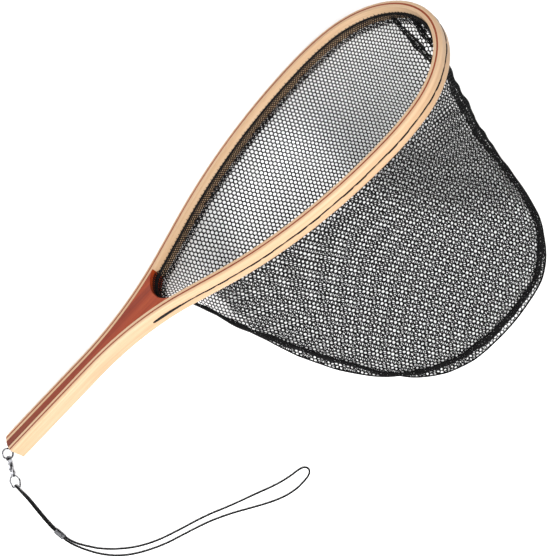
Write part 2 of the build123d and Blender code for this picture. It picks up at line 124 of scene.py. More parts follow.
def place_camera():
    data = bpy.data.cameras.new("overhead_camera")
    data.lens = CAMERA_LENS
    data.clip_start = 0.01
    camera = bpy.data.objects.new("overhead_camera", data)
    scene.collection.objects.link(camera)
    back = (CAMERA_PLACE - CAMERA_TARGET).normalized()
    right = (CAMERA_RIGHT - back * CAMERA_RIGHT.dot(back)).normalized()
    turn = Matrix((right, back.cross(right), back)).transposed()
    camera.matrix_world = Matrix.Translation(CAMERA_PLACE) @ turn.to_4x4()
    scene.camera = camera


def place_light(name, place, target, size, power):
    data = bpy.data.lights.new(name, "AREA")
    data.shape = "DISK"
    data.size = size
    data.energy = power
    light = bpy.data.objects.new(name, data)
    scene.collection.objects.link(light)
    aim = (Vector(target) - Vector(place)).to_track_quat("-Z", "Y")
    light.matrix_world = Matrix.Translation(place) @ aim.to_matrix().to_4x4()


def light_studio():
    scene.view_settings.view_transform = "Standard"
    place_light("overhead_softbox", (-0.3, -0.25, 1.85), (0, 0, 0), 1.4, 50)
    place_light("side_softbox", (-1.5, -0.5, 1.1), (0, 0, 0.05), 1.0, 20)
    world = bpy.data.worlds.new("studio")
    scene.world = world
    world.use_nodes = True
    tree = world.node_tree
    background = tree.nodes["Background"]
    place = tree.nodes.new("ShaderNodeTexCoord")
    split = tree.nodes.new("ShaderNodeSeparateXYZ")
    ramp = tree.nodes.new("ShaderNodeValToRGB")
    tree.links.new(place.outputs["Generated"], split.inputs[0])
    tree.links.new(split.outputs["Z"], ramp.inputs[0])
    ramp.color_ramp.elements[0].position = 0.3
    ramp.color_ramp.elements[0].color = (0.04, 0.04, 0.045, 1)
    ramp.color_ramp.elements[1].position = 0.75
    ramp.color_ramp.elements[1].color = (0.85, 0.85, 0.85, 1)
    tree.links.new(ramp.outputs[0], background.inputs[0])
    background.inputs[1].default_value = 1.0


def new_object(name, mesh):
    piece = bpy.data.objects.new(name, mesh)
    scene.collection.objects.link(piece)
    return piece


def from_bmesh(name, bm):
    mesh = bpy.data.meshes.new(name)
    bm.to_mesh(mesh)
    bm.free()
    return new_object(name, mesh)


# ---------------------------------------------------------------------------
# materials


class Finish:
    """A material on one Principled shader, with short ways to add its nodes."""

    def __init__(self, name, **sockets):
        self.material = bpy.data.materials.new(name)
        self.material.use_nodes = True
        self.tree = self.material.node_tree
        self.shader = self.tree.nodes["Principled BSDF"]
        for socket, value in sockets.items():
            self.shader.inputs[socket.replace("_", " ")].default_value = value

    def node(self, kind, inputs=(), **settings):
        node = self.tree.nodes.new("ShaderNode" + kind)
        for name, value in settings.items():
            setattr(node, name, value)
        for key, value in dict(inputs).items():
            if isinstance(value, bpy.types.NodeSocket):
                self.tree.links.new(value, node.inputs[key])
            else:
                node.inputs[key].default_value = value
        return node

    def coordinates(self, scale, turn=(0, 0, 0), attribute=None):
        """Pattern coordinates in metres, scaled per axis."""
        if attribute is None:
            source = self.node("TexCoord").outputs["Object"]
        elif attribute == "UV":
            source = self.node("TexCoord").outputs["UV"]
        else:
            source = self.node("Attribute", attribute_name=attribute).outputs["Vector"]
        if any(turn):
            source = self.node(
                "Mapping", {"Vector": source, "Rotation": turn}, vector_type="TEXTURE"
            ).outputs[0]
        return self.node("Mapping", {"Vector": source, "Scale": scale}).outputs[0]

    def noise(self, vector, detail=3.0, roughness=0.55, scale=1.0, distortion=0.0):
        return self.node(
            "TexNoise",
            {"Vector": vector, "Scale": scale, "Detail": detail,
             "Roughness": roughness, "Distortion": distortion},
        ).outputs["Fac"]

    def ramp(self, factor, *stops):
        node = self.node("ValToRGB", {0: factor})
        ramp = node.color_ramp
        while len(ramp.elements) < len(stops):
            ramp.elements.new(0.5)
        for element, (position, colour) in zip(ramp.elements, stops):
            element.position = position
            element.color = (*colour, 1) if len(colour) == 3 else colour
        return node.outputs[0]

    def spread(self, factor, low, high, from_low=0.0, from_high=1.0):
        return self.node(
            "MapRange",
            {"Value": factor, "From Min": from_low, "From Max": from_high,
             "To Min": low, "To Max": high},
        ).outputs[0]

    def mix(self, factor, first, second, blend="MIX"):
        node = self.node("Mix", data_type="RGBA", blend_type=blend)
        for socket, value in ((0, factor), (6, first), (7, second)):
            if isinstance(value, bpy.types.NodeSocket):
                self.tree.links.new(value, node.inputs[socket])
            else:
                node.inputs[socket].default_value = value
        return node.outputs[2]

    def math(self, operation, first, second=0.5):
        return self.node("Math", {0: first, 1: second}, operation=operation).outputs[0]

    def colour(self, socket):
        self.tree.links.new(socket, self.shader.inputs["Base Color"])

    def roughness(self, socket):
        self.tree.links.new(socket, self.shader.inputs["Roughness"])

    def bump(self, *layers):
        """Layers of (height socket, depth in metres, strength)."""
        normal = None
        for height, distance, strength in layers:
            inputs = {"Height": height, "Distance": distance, "Strength": strength}
            if normal is not None:
                inputs["Normal"] = normal
            normal = self.node("Bump", inputs).outputs[0]
        self.tree.links.new(normal, self.shader.inputs["Normal"])


def wood_finish(name, dark, middle, light, pores, attribute="grain", turn=(0, 0, 0), end=None):
    """Lacquered wood: long fibres, slow bands of colour and short dark pores."""
    wood = Finish(name, Coat_Weight=0.04, Coat_Roughness=0.2, IOR=1.45,
                  Specular_IOR_Level=0.14)
    fibres = wood.noise(wood.coordinates((14, 900, 900), turn, attribute), 4, 0.6)
    bands = wood.noise(wood.coordinates((5, 130, 130), turn, attribute), 2, 0.5, distortion=0.4)
    slow = wood.noise(wood.coordinates((9, 20, 20), turn, attribute), 1, 0.4)
    tone = wood.math("ADD", wood.math("MULTIPLY", fibres, 0.45),
                     wood.math("MULTIPLY", bands, 0.4))
    tone = wood.math("ADD", tone, wood.math("MULTIPLY", slow, 0.15))
    colour = wood.ramp(tone, (0.34, dark), (0.5, middle), (0.66, light))
    pore_noise = wood.noise(wood.coordinates((110, 2600, 2600), turn, attribute), 2, 0.5)
    pore_mask = wood.spread(pore_noise, 0.0, 1.0, 0.62, 0.72)
    colour = wood.mix(wood.math("MULTIPLY", pore_mask, 0.3), colour, (*pores, 1))
    if end is not None:
        place = wood.coordinates((1, 1, 1), turn, attribute)
        run = wood.node("SeparateXYZ", {0: place}).outputs[0]
        share = wood.spread(run, 0.0, 1.0, *end)
        colour = wood.mix(share, wood.mix(1.0, colour, (0.5, 0.55, 0.8, 1), "MULTIPLY"), colour)
    wood.colour(colour)
    wood.roughness(wood.spread(fibres, 0.36, 0.56, 0.3, 0.7))
    wood.bump((fibres, 0.00012, 0.25), (pore_noise, 0.0001, 0.2))
    return wood.material


def cord_finish(name, plies, turns, base=(0.011, 0.011, 0.012)):
    """Braided nylon on the cord's own UV: crossing diagonals, with painted sheen on the braid's
    crests and painted shade in its grooves.
    """
    cord = Finish(name, Specular_IOR_Level=0.14)
    waves = []
    for direction in (1, -1):
        place = cord.coordinates((turns, plies * direction, 1), attribute="UV")
        split = cord.node("SeparateXYZ", {0: place})
        total = cord.math("ADD", split.outputs[0], split.outputs[1])
        waves.append(cord.math("SINE", cord.math("MULTIPLY", total, 2 * pi)))
    braid = cord.math("MAXIMUM", waves[0], waves[1])
    fuzz = cord.noise(cord.coordinates((9000, 9000, 9000)), 2)
    # colour follows the braid's relief: painted shade in the grooves, painted highlight on the
    # crests
    cord.colour(cord.ramp(cord.spread(braid, 0, 1, -1, 1), (0.2, [c * 0.4 for c in base]),
                          (0.75, base), (1.0, [c * 2.6 for c in base])))
    cord.roughness(cord.spread(fuzz, 0.42, 0.68))
    cord.bump((braid, 0.00018, 0.7), (fuzz, 0.00004, 0.4))
    return cord.material


def thread_finish(name, base, spread):
    """Spun nylon thread: fine filaments with slightly uneven dye."""
    thread = Finish(name, Specular_IOR_Level=0.12)
    filaments = thread.noise(thread.coordinates((3500, 3500, 3500)), 3)
    patches = thread.noise(thread.coordinates((60, 60, 60)), 2)
    tone = thread.math("MULTIPLY", thread.math("ADD", filaments, patches), 0.5)
    thread.colour(thread.ramp(tone, (0.3, [c / spread for c in base]),
                              (0.7, [c * spread for c in base])))
    thread.roughness(thread.spread(filaments, 0.4, 0.62))
    thread.bump((filaments, 0.00006, 0.5))
    return thread.material


def steel_finish(name, tint, rough):
    """Polished plating with fine scratches and a few dull patches."""
    steel = Finish(name, Metallic=1.0)
    scratches = steel.noise(steel.coordinates((600, 4000, 900)), 3, 0.6)
    patches = steel.noise(steel.coordinates((350, 350, 350)), 2)
    steel.colour(steel.ramp(patches, (0.42, [c * 0.2 for c in tint]), (0.56, tint)))
    steel.roughness(steel.spread(patches, rough, rough * 2.2, 0.35, 0.7))
    steel.bump((scratches, 0.00002, 0.3))
    return steel.material


pale_wood = wood_finish("pale_wood_lacquered", (0.43, 0.265, 0.15), (0.50, 0.335, 0.205),
                        (0.56, 0.40, 0.265), (0.25, 0.12, 0.05))
accent_wood = wood_finish("accent_wood_lacquered", (0.13, 0.018, 0.005), (0.20, 0.032, 0.008),
                          (0.26, 0.06, 0.022), (0.05, 0.010, 0.005))
core_wood = wood_finish("core_wood_lacquered", (0.15, 0.016, 0.004), (0.24, 0.030, 0.007),
                        (0.34, 0.058, 0.014), (0.05, 0.010, 0.004), attribute=None,
                        turn=hoop_turn.to_euler(), end=(-0.27, -0.13))
black_cord = cord_finish("braided_black_cord", 8, 260, (0.0028, 0.0028, 0.003))
black_thread = thread_finish("black_net_thread", (0.0032, 0.0032, 0.0035), 1.7)
rope_thread = thread_finish("black_rope_thread", (0.0026, 0.0026, 0.0029), 1.9)
plated_steel = steel_finish("plated_steel", (0.22, 0.22, 0.235), 0.2)
crimp_metal = steel_finish("crimp_metal", (0.085, 0.085, 0.09), 0.3)


def dress(piece, material, body, slot, *replaced):
    """Give a finished piece its material and body, and hide the nodes it replaces; the record
    slot is not used.
    """
    piece.data.materials.clear()
    piece.data.materials.append(material)
    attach(piece, body)
    if replaced:
        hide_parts(*replaced)
    return piece


# ---------------------------------------------------------------------------
# lanyard cords: control points of smooth curves, from the ground spot below the butt

CORD_WIDTH = 1.9 * MM
LEAD_ROUTE = [
    (-35.58, -96.5, 1.7), (-35.8, -88, 1.4), (-35.4, -79, 0.95), (-34.1, -66, 0.95),
    (-32.5, -54, 0.95), (-31.9, -44.5, 0.95), (-31.5, -38, 0.95), (-31.3, -32.5, 0.95),
    (-29.9, -33.2, 4.75), (-29.7, -38.5, 4.6), (-30.0, -44.5, 3.0), (-30.6, -54, 0.95),
    (-32.1, -66, 0.95), (-33.4, -79, 0.95), (-33.84, -88, 1.4), (-33.62, -96.5, 1.7),
]
LOOP_ROUTE = [
    (-33.42, -99.5, 1.7), (-32.6, -108, 1.2), (-30.0, -116, 0.95), (-24.8, -125.5, 0.95),
    (-17.5, -137, 0.95), (-6, -149.5, 0.95), (9, -162, 0.95), (28, -172.5, 0.95),
    (52, -181, 0.95), (78, -189.2, 0.95), (103, -200.5, 0.95), (128, -210, 0.95),
    (150, -219, 0.95), (166, -223, 0.95), (175.5, -224.2, 0.95), (181.6, -226.5, 0.95),
    (183.4, -231.2, 0.95), (180.3, -235, 0.95), (173.5, -236.2, 0.95), (160, -236.4, 0.95),
    (142, -231.5, 0.95), (120, -219.5, 0.95), (98, -206.2, 0.95), (76, -195.5, 0.95),
    (52, -187.3, 0.95), (28, -179.3, 0.95), (5, -167, 0.95), (-9.5, -155.5, 0.95),
    (-20, -142.5, 0.95), (-27.5, -129, 0.95), (-32.2, -117.5, 0.95), (-34.9, -108, 1.2),
    (-35.38, -99.5, 1.7),
]


def lanyard_cord(name, route):
    curve = bpy.data.curves.new(name, "CURVE")
    curve.dimensions = "3D"
    curve.resolution_u = 12
    curve.bevel_depth = CORD_WIDTH / 2
    curve.bevel_resolution = 4
    curve.use_fill_caps = True
    spline = curve.splines.new("NURBS")
    spline.points.add(len(route) - 1)
    for point, place in zip(spline.points, route):
        point.co = (*(BUTT_SPOT + Vector(place) * MM), 1)
    spline.order_u = 3
    spline.use_endpoint_u = True
    return new_object(name, curve)


place_camera()
light_studio()

lead = dress(lanyard_cord("lanyard_lead_cord", LEAD_ROUTE), black_cord, "swivel", "black_cord",
             "lanyard_lead")
loop = dress(lanyard_cord("wrist_loop_cord", LOOP_ROUTE), black_cord, "swivel", "black_cord",
             "wrist_loop")

floor_mesh = bmesh.new()
bmesh.ops.create_grid(floor_mesh, x_segments=2, y_segments=2, size=25)
bmesh.ops.translate(floor_mesh, verts=floor_mesh.verts, vec=(0, 0, -0.0003))
floor = from_bmesh("studio_floor", floor_mesh)
floor_paper = Finish("pale_paper", Roughness=0.9)
floor_paper.colour(floor_paper.ramp(floor_paper.noise(floor_paper.coordinates((4, 4, 4))),
                                    (0.3, (0.93, 0.93, 0.93)), (0.7, (0.95, 0.95, 0.95))))
floor.data.materials.append(floor_paper.material)

# ---------------------------------------------------------------------------
# wooden plies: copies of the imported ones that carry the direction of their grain


def rim_tree():
    """Search tree over one half of the rim, and the length along it of each entry."""
    steps = 900
    tree = kdtree.KDTree(steps + 1)
    lengths = []
    flat_hoop = hoop.inverted()
    for i in range(steps + 1):
        along = -0.004 + (HALF_LENGTH + 0.004) * i / steps
        spot = flat_hoop @ rim_point(along)
        tree.insert((spot.x, spot.y, 0), i)
        lengths.append(along)
    tree.balance()
    return tree, lengths


SMOOTH_UP_TO = radians(30)
ROUNDED_FROM = radians(35)


def merged_copy(node, name):
    """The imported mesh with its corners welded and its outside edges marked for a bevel."""
    bm = bmesh.new()
    bm.from_mesh(nodes[node].data)
    bmesh.ops.remove_doubles(bm, verts=bm.verts, dist=1e-6)
    rounded = bm.edges.layers.float.new("bevel_weight_edge")
    for edge in bm.edges:
        turn = edge.calc_face_angle(0)
        edge.smooth = turn < SMOOTH_UP_TO
        edge[rounded] = float(turn > ROUNDED_FROM and edge.is_convex)
    for face in bm.faces:
        face.smooth = True
    return from_bmesh(name, bm)


def grained_ply(node, name, material, slot):
    """A ply whose grain attribute is length along the frame, reach from its line, depth."""
    ply = merged_copy(node, name)
    grain = ply.data.attributes.new("grain", "FLOAT_VECTOR", "POINT")
    flat_hoop = hoop.inverted()
    values = []
    for vertex in ply.data.vertices:
        spot = flat_hoop @ vertex.co
        _, index, reach = RIM_TREE.find((spot.x, abs(spot.y), 0))
        shift = 7.0 if spot.y < 0 else 0.0      # so that the two halves differ
        values.extend((RIM_LENGTHS[index] + shift, reach, spot.z))
    grain.data.foreach_set("vector", values)
    return dress(ply, material, "net", slot, node)


RIM_TREE, RIM_LENGTHS = rim_tree()
grained_ply("outer_lamination", "outer_ply", pale_wood, "pale_wood")
grained_ply("inner_lamination", "inner_ply", pale_wood, "pale_wood")
grained_ply("accent_lamination", "accent_ply", accent_wood, "accent_wood")


def refinish(node, material):
    nodes[node].data.materials.clear()
    nodes[node].data.materials.append(material)


refinish("handle_core", core_wood)
refinish("screw_eye", plated_steel)
refinish("gate_pin", plated_steel)
refinish("gate_spring", plated_steel)
refinish("crimp_sleeve", crimp_metal)

# ---------------------------------------------------------------------------
# the bag: two knitted panels, laid out as heights over the ground

BAG_EDGE = [
    (221, -26, 42), (228, -50, 18), (238, -84, 1), (263, -142, 1), (300, -212, 1),
    (329, -243, 1), (378, -265, 1), (430, -270, 1), (479, -261, 1), (512, -235, 1),
    (529, -200, 1), (535, -160, 14), (535, -117, 45), (536, -77, 84), (537, -56, 108),
    (537, -44, 125),
]
CELL = 4.75 * MM             # pitch of the knitted holes along the net's axis
CELL_ROW = 3.9 * MM          # and from row to row
THREAD = 1.0 * MM
LOWER_HOLE = (0.67, 0.75)    # open share of a hole, along and across the net
UPPER_HOLE = (0.71, 0.79)
STEP = 3 * MM                # spacing of the height field
FIELD_LOW = np.array((-0.075, -0.185))
FIELD_SIZE = (128, 126)
SAG = 9.0                    # how fast the resting panel curves up to the rim, per metre
HANG = 0.5                   # how much the hanging panel bellies, per metre
CROWDED = [((0.255, 0.085), 0.26, 0.13), ((-0.063, 0.087), 0.5, 0.035)]  # place, share, reach
SPLIT_SHARE = 0.125          # where the bag's edge meets the raised half of the hoop
LOWER_TURN = radians(-1.5)   # how far each panel's cells are turned from the net's axis
UPPER_TURN = radians(14)
GROUND_GAP = 0.0006          # height of the lower panel's middle over the floor
PANEL_GAP = 0.0018           # least height of the upper panel over the lower
FOLD_CROWD = (0.6, 0.010)    # share and reach of the smaller cells along the bag's edge
STEEPEST = 1.1               # slope beyond which the cloth coordinates stop stretching
GROUND_HOLD = 0.03           # weight of the ground beyond the cloth
SETTLE_ROUNDS, SETTLE_PACE = 350, 1.88
FLATTEN_ROUNDS, FLATTEN_PACE = 450, 1.93
PLACE_ROUNDS, PLACE_PACE = 60, 0.7


def smooth_line(points, count):
    """Evenly counted points on a soft line through a few given ones."""
    points = np.array(points, float)
    padded = np.vstack((2 * points[0] - points[1], points, 2 * points[-1] - points[-2]))
    line = []
    for share in np.linspace(0, len(points) - 1, count):
        k = min(int(share), len(points) - 2)
        t = share - k
        a, b, c, d = padded[k:k + 4]
        line.append(0.5 * (2 * b + (c - a) * t + (2 * a - 5 * b + 4 * c - d) * t * t
                           + (3 * b - a - 3 * c + d) * t ** 3))
    return np.array(line)


edge_line = smooth_line([BUTT_SPOT + Vector(p) * MM for p in BAG_EDGE], 240)
RIM_HANG = dict(outward=INNER_FACE - 0.7 * MM, depth=-FRAME_DEPTH - 0.5 * MM)


def rim_stretch(low, high, count=160, **where):
    """Points along the hoop between two shares of the way round."""
    points = []
    for share in np.linspace(low, high, count):
        along, side = round_the_hoop(share)
        points.append(rim_point(along, side=side, **where))
    return np.array(points)


def throat_arc(reach, depth, count=24):
    """Points round the hollow at the end of the handle's core, from the +Y side."""
    radius = THROAT_RADIUS - reach
    points = []
    for angle in np.linspace(pi - THROAT_TURN, pi + THROAT_TURN, count):
        spot = (THROAT_X + THROAT_RADIUS + radius * cos(angle), radius * sin(angle), depth)
        points.append(hoop @ Vector(spot))
    return np.array(points)


lower_outline = np.vstack((rim_stretch(-1, SPLIT_SHARE, 260, **RIM_HANG), edge_line[::-1],
                           throat_arc(0.7 * MM, RIM_HANG["depth"])[::-1]))
upper_outline = np.vstack((rim_stretch(SPLIT_SHARE, 1, 220, **RIM_HANG), edge_line))


def inside(points, outline):
    """Which points lie inside a closed outline, seen from above."""
    found = np.zeros(len(points), bool)
    x, y = points[:, 0], points[:, 1]
    for a, b in zip(outline, np.roll(outline, -1, 0)):
        crosses = (a[1] > y) != (b[1] > y)
        if crosses.any():
            found ^= crosses & (x < (b[0] - a[0]) * (y - a[1]) / (b[1] - a[1] + 1e-12) + a[0])
    return found


def nearest(points, line):
    """Distance from each point to a line's nearest vertex, seen from above, and its index."""
    gaps = ((points[:, None, :2] - line[None, :, :2]) ** 2).sum(2)
    return np.sqrt(gaps.min(1)), gaps.argmin(1)


xs = FIELD_LOW[0] + STEP * np.arange(FIELD_SIZE[0])
ys = FIELD_LOW[1] + STEP * np.arange(FIELD_SIZE[1])
field_points = np.stack(np.meshgrid(xs, ys, indexing="ij"), -1).reshape(-1, 2)
checker = (np.indices(FIELD_SIZE).sum(0) % 2).astype(bool)


def settle(outline, pull, below):
    """Heights of a light sheet held at its outline that sags onto what is below it."""
    free = inside(field_points, outline)
    _, index = nearest(field_points, outline)
    height = outline[index, 2].reshape(FIELD_SIZE)
    free = free.reshape(FIELD_SIZE)
    free[[0, -1]] = free[:, [0, -1]] = False
    around = np.zeros(FIELD_SIZE)
    for _ in range(SETTLE_ROUNDS):
        for colour in (checker, ~checker):
            around[1:-1, 1:-1] = (height[2:, 1:-1] + height[:-2, 1:-1]
                                  + height[1:-1, 2:] + height[1:-1, :-2]) / 4
            relaxed = height + SETTLE_PACE * (around - pull * STEP ** 2 / 4 - height)
            pick = free & colour
            height[pick] = np.maximum(relaxed, below)[pick]
    return height, free


def sample(field, points):
    """Value of a field between its points."""
    place = (points[:, :2] - FIELD_LOW) / STEP
    place = np.clip(place, 0, np.array(FIELD_SIZE) - 1.001)
    k = place.astype(int)
    t = place - k
    i, j = k[:, 0], k[:, 1]
    top = field[i, j] * (1 - t[:, 0]) + field[i + 1, j] * t[:, 0]
    bottom = field[i, j + 1] * (1 - t[:, 0]) + field[i + 1, j + 1] * t[:, 0]
    return top * (1 - t[:, 1]) + bottom * t[:, 1]


def flatten(height, free, turn, crowded):
    """Cloth coordinates over the field, so that the slopes keep their true length."""
    slope_x = np.diff(height, axis=0) / STEP
    slope_y = np.diff(height, axis=1) / STEP
    gx = np.zeros(FIELD_SIZE)
    gy = np.zeros(FIELD_SIZE)
    gx[:-1] += slope_x / 2
    gx[1:] += slope_x / 2
    gy[:, :-1] += slope_y / 2
    gy[:, 1:] += slope_y / 2
    gx[~free] = gy[~free] = 0
    steep = gx ** 2 + gy ** 2
    limit = np.minimum(1.0, STEEPEST / np.sqrt(steep + 1e-12))
    gx, gy = gx * limit, gy * limit
    steep = gx ** 2 + gy ** 2
    stretch = (np.sqrt(1 + steep) - 1) / (steep + 1e-12)
    gap = nearest(field_points, edge_line)[0].reshape(FIELD_SIZE)
    crowd = 1 + FOLD_CROWD[0] * np.exp(-(gap / FOLD_CROWD[1]) ** 2)
    for spot, share, reach in crowded:
        away = np.linalg.norm(field_points - spot, axis=1).reshape(FIELD_SIZE)
        crowd += share * np.exp(-(away / reach) ** 2)
    metric = ((crowd * (1 + stretch * gx * gx), crowd * stretch * gx * gy),
              (crowd * stretch * gx * gy, crowd * (1 + stretch * gy * gy)))
    hold = np.where(free, 1.0, GROUND_HOLD)
    hold_x = np.minimum(hold[1:], hold[:-1])
    hold_y = np.minimum(hold[:, 1:], hold[:, :-1])
    c, s = cos(turn), sin(turn)
    fields = []
    for row in ((c, -s), (s, c)):
        along_x = row[0] * metric[0][0] + row[1] * metric[1][0]
        along_y = row[0] * metric[0][1] + row[1] * metric[1][1]
        step_x = (along_x[1:] + along_x[:-1]) / 2 * STEP
        step_y = (along_y[:, 1:] + along_y[:, :-1]) / 2 * STEP
        value = (row[0] * field_points[:, 0] + row[1] * field_points[:, 1]).reshape(FIELD_SIZE)
        count = np.zeros(FIELD_SIZE)
        count[1:] += hold_x
        count[:-1] += hold_x
        count[:, 1:] += hold_y
        count[:, :-1] += hold_y
        for _ in range(FLATTEN_ROUNDS):
            for colour in (checker, ~checker):
                total = np.zeros(FIELD_SIZE)
                total[1:] += hold_x * (value[:-1] + step_x)
                total[:-1] += hold_x * (value[1:] - step_x)
                total[:, 1:] += hold_y * (value[:, :-1] + step_y)
                total[:, :-1] += hold_y * (value[:, 1:] - step_y)
                value[colour] += FLATTEN_PACE * (total / count - value)[colour]
        fields.append(value)
    return fields


def place_on(cloth, fields, turn):
    """Ground position of each cloth point."""
    back = np.array(((cos(turn), sin(turn)), (-sin(turn), cos(turn))))
    spot = cloth @ back.T
    for _ in range(PLACE_ROUNDS):
        error = cloth - np.stack([sample(f, spot) for f in fields], 1)
        spot = spot + PLACE_PACE * error @ back.T
    return spot


def repeat(bm, step, count):
    """Copy everything along a step, doubling the row until it is long enough."""
    done = 1
    while done < count:
        copy = bmesh.ops.duplicate(bm, geom=bm.verts[:] + bm.edges[:] + bm.faces[:])
        fresh = [part for part in copy["geom"] if isinstance(part, bmesh.types.BMVert)]
        bmesh.ops.translate(bm, verts=fresh, vec=[c * done for c in step])
        done *= 2


def ring(bm, pitch, row_pitch, share, height):
    """Six corners of one knitted hole, their sides along the net's axis doubled."""
    made = bmesh.ops.create_circle(bm, cap_ends=False, segments=6, radius=1)["verts"]
    for k, vert in enumerate(made):
        turn = pi / 2 + k * pi / 3
        vert.co = (cos(turn) * share[0], sin(turn) * share[1], height)
    bmesh.ops.scale(bm, verts=made, vec=(pitch / sqrt(3), row_pitch / 1.5, 1))
    return [edge for edge in bm.edges if all(vert in made for vert in edge.verts)]


def honeycomb(columns, rows, pitch, row_pitch, hole, thread):
    """Flat knitted sheet with rows of holes along X, centred on the origin."""
    bm = bmesh.new()
    outer = ring(bm, pitch, row_pitch, (1, 1), thread / 2)
    inner = ring(bm, pitch, row_pitch, hole, 0)
    under = ring(bm, pitch, row_pitch, (1, 1), -thread / 2)
    bmesh.ops.bridge_loops(bm, edges=outer + inner)
    bmesh.ops.bridge_loops(bm, edges=inner + under)
    copy = bmesh.ops.duplicate(bm, geom=bm.verts[:] + bm.edges[:] + bm.faces[:])
    fresh = [part for part in copy["geom"] if isinstance(part, bmesh.types.BMVert)]
    bmesh.ops.translate(bm, verts=fresh, vec=(pitch / 2, row_pitch, 0))
    repeat(bm, (pitch, 0, 0), columns)
    repeat(bm, (0, 2 * row_pitch, 0), rows / 2)
    bmesh.ops.remove_doubles(bm, verts=bm.verts, dist=pitch * 0.02)
    return bm


def cell_numbers(points, pitch, row_pitch):
    """Row and column of the hole whose middle is nearest to each flat point."""
    best, gap = None, None
    for shift in (0, 1):
        row = np.round((points[:, 1] / row_pitch - shift) / 2) * 2 + shift
        column = np.round(points[:, 0] / pitch - shift / 2) + shift / 2
        away = (((points[:, 0] - column * pitch) / pitch) ** 2
                + ((points[:, 1] - row * row_pitch) / row_pitch) ** 2 * 0.75)
        found = np.stack((column, row), 1)
        if best is None:
            best, gap = found, away
        else:
            best = np.where((away < gap)[:, None], found, best)
    return best


def read_points(bm):
    return np.array([vert.co[:] for vert in bm.verts])


def write_points(bm, points):
    for vert, point in zip(bm.verts, points):
        vert.co = point


def drop_faces(bm, keep):
    lost = [face for face, kept in zip(bm.faces[:], keep) if not kept]
    bmesh.ops.delete(bm, geom=lost, context="FACES")
    loose = [vert for vert in bm.verts if not vert.link_faces]
    bmesh.ops.delete(bm, geom=loose, context="VERTS")


def face_centres(bm):
    return np.array([face.calc_center_median()[:] for face in bm.faces])


def knit(bm, name):
    """Finish a knitted sheet: faces outwards, smooth, as one piece."""
    bmesh.ops.recalc_face_normals(bm, faces=bm.faces)
    for face in bm.faces:
        face.smooth = True
    return from_bmesh(name, bm)


def ripple(points, size, amount, seed):
    """Slow sideways drift, so that no two rows are quite alike."""
    moved = points.copy()
    for k, p in enumerate(points):
        where = Vector((p[0] / size, p[1] / size, seed))
        moved[k, 0] += amount * noise.noise(where)
        moved[k, 1] += amount * noise.noise(where + Vector((31.7, 11.3, 0)))
    return moved


def knitted_panel(name, outline, height, free, turn, crowded, hole, fold, seed):
    """One panel of the bag: flat cells laid over the height field and trimmed to the outline."""
    fields = flatten(height, free, turn, crowded)
    bm = honeycomb(128, 128, CELL, CELL_ROW, hole, THREAD)
    flat = read_points(bm)
    first = np.array([sample(f, FIELD_LOW[None] + 0.005)[0] for f in fields])
    spot = place_on(flat[:, :2] + first, fields, turn)
    quads = face_centres(bm)
    cells = cell_numbers(quads, CELL, CELL_ROW)
    middles = cells * (CELL, CELL_ROW)
    off_middle = quads[:, :2] - middles    # carried on past the thread, into the next hole
    across = cell_numbers(2 * quads[:, :2] - middles + off_middle * 0.25,
                          CELL, CELL_ROW) * (CELL, CELL_ROW)
    kept = []
    for centre in (middles, across):
        unique, back = np.unique(np.round(centre, 6), axis=0, return_inverse=True)
        ground = place_on(unique + first, fields, turn)
        kept.append(cell_kept(ground, outline, fold)[back.ravel()])
        if centre is middles:
            area = kept[0].sum() / 12 * CELL * CELL_ROW
            cut = np.ptp(centre[kept[0]], axis=0)
    spot = ripple(spot, 0.05, 1.3 * MM, seed)
    spot = pull_to_fold(spot, outline, fold)
    slope = [sample(field, spot) for field in np.gradient(height, STEP)]
    normal = np.column_stack((-slope[0], -slope[1], np.ones(len(spot))))
    normal /= np.linalg.norm(normal, axis=1)[:, None]
    points = np.column_stack((spot, sample(height, spot)))
    write_points(bm, points + normal * flat[:, 2:3])
    drop_faces(bm, kept[0] | kept[1])
    return knit(bm, name), area, sorted(cut)


def cell_kept(centres, outline, fold):
    """Which holes belong to the panel: inside it, or between the seam and the fold."""
    kept = inside(centres, outline)
    gap, index = nearest(centres, edge_line)
    reach = np.interp(index / len(edge_line), *fold)
    on_edge = nearest(centres, outline)[0] >= gap - 1e-6
    near = (gap < reach + CELL_ROW / 4) & (reach > 0.5 * MM)
    return kept | (on_edge & near & (index > 4) & (index < len(edge_line) - 4))


def pull_to_fold(points, outline, fold):
    """Points that would stand beyond the bag's folded edge go onto it."""
    gap, index = nearest(points, edge_line)
    reach = np.maximum(np.interp(index / len(edge_line), *fold), 0.3 * MM)
    beyond = ~inside(points, outline) & (nearest(points, outline)[0] >= gap - 1e-6)
    share = np.where(beyond & (gap > reach), reach / np.maximum(gap, 1e-9), 1.0)
    foot = edge_line[index, :2]
    return foot + (points - foot) * share[:, None]


lower_height, lower_free = settle(lower_outline, SAG, GROUND_GAP)
lower_height = np.maximum(lower_height, GROUND_GAP)
upper_height, upper_free = settle(upper_outline, HANG, lower_height + PANEL_GAP)

# how far the folded edge stands beyond the seam, in millimetres by share of the way round
FOLD_BEYOND = {
    0: 0, 0.13: 0, 0.167: 2.5, 0.2: 6.8, 0.233: 8, 0.267: 4.6, 0.3: 0.8, 0.333: 4.8, 0.367: 8.6,
    0.4: 9, 0.433: 7.2, 0.467: 6.5, 0.5: 5.8, 0.533: 6.6, 0.567: 5.6, 0.6: 3.8, 0.633: 4.2,
    0.667: 2.8, 0.7: 1.6, 0.733: 0, 1: 0,
}
FOLD_TABLE = (list(FOLD_BEYOND), [reach * MM for reach in FOLD_BEYOND.values()])
lower_net, lower_area, lower_cut = knitted_panel(
    "lower_net", lower_outline, lower_height, lower_free, LOWER_TURN, CROWDED, LOWER_HOLE,
    FOLD_TABLE, 3.0)
upper_net, upper_area, upper_cut = knitted_panel(
    "upper_net", upper_outline, upper_height, upper_free, UPPER_TURN, [], UPPER_HOLE,
    FOLD_TABLE, 9.0)
dress(lower_net, black_thread, "net", "net_mesh", "net_lower_panel")
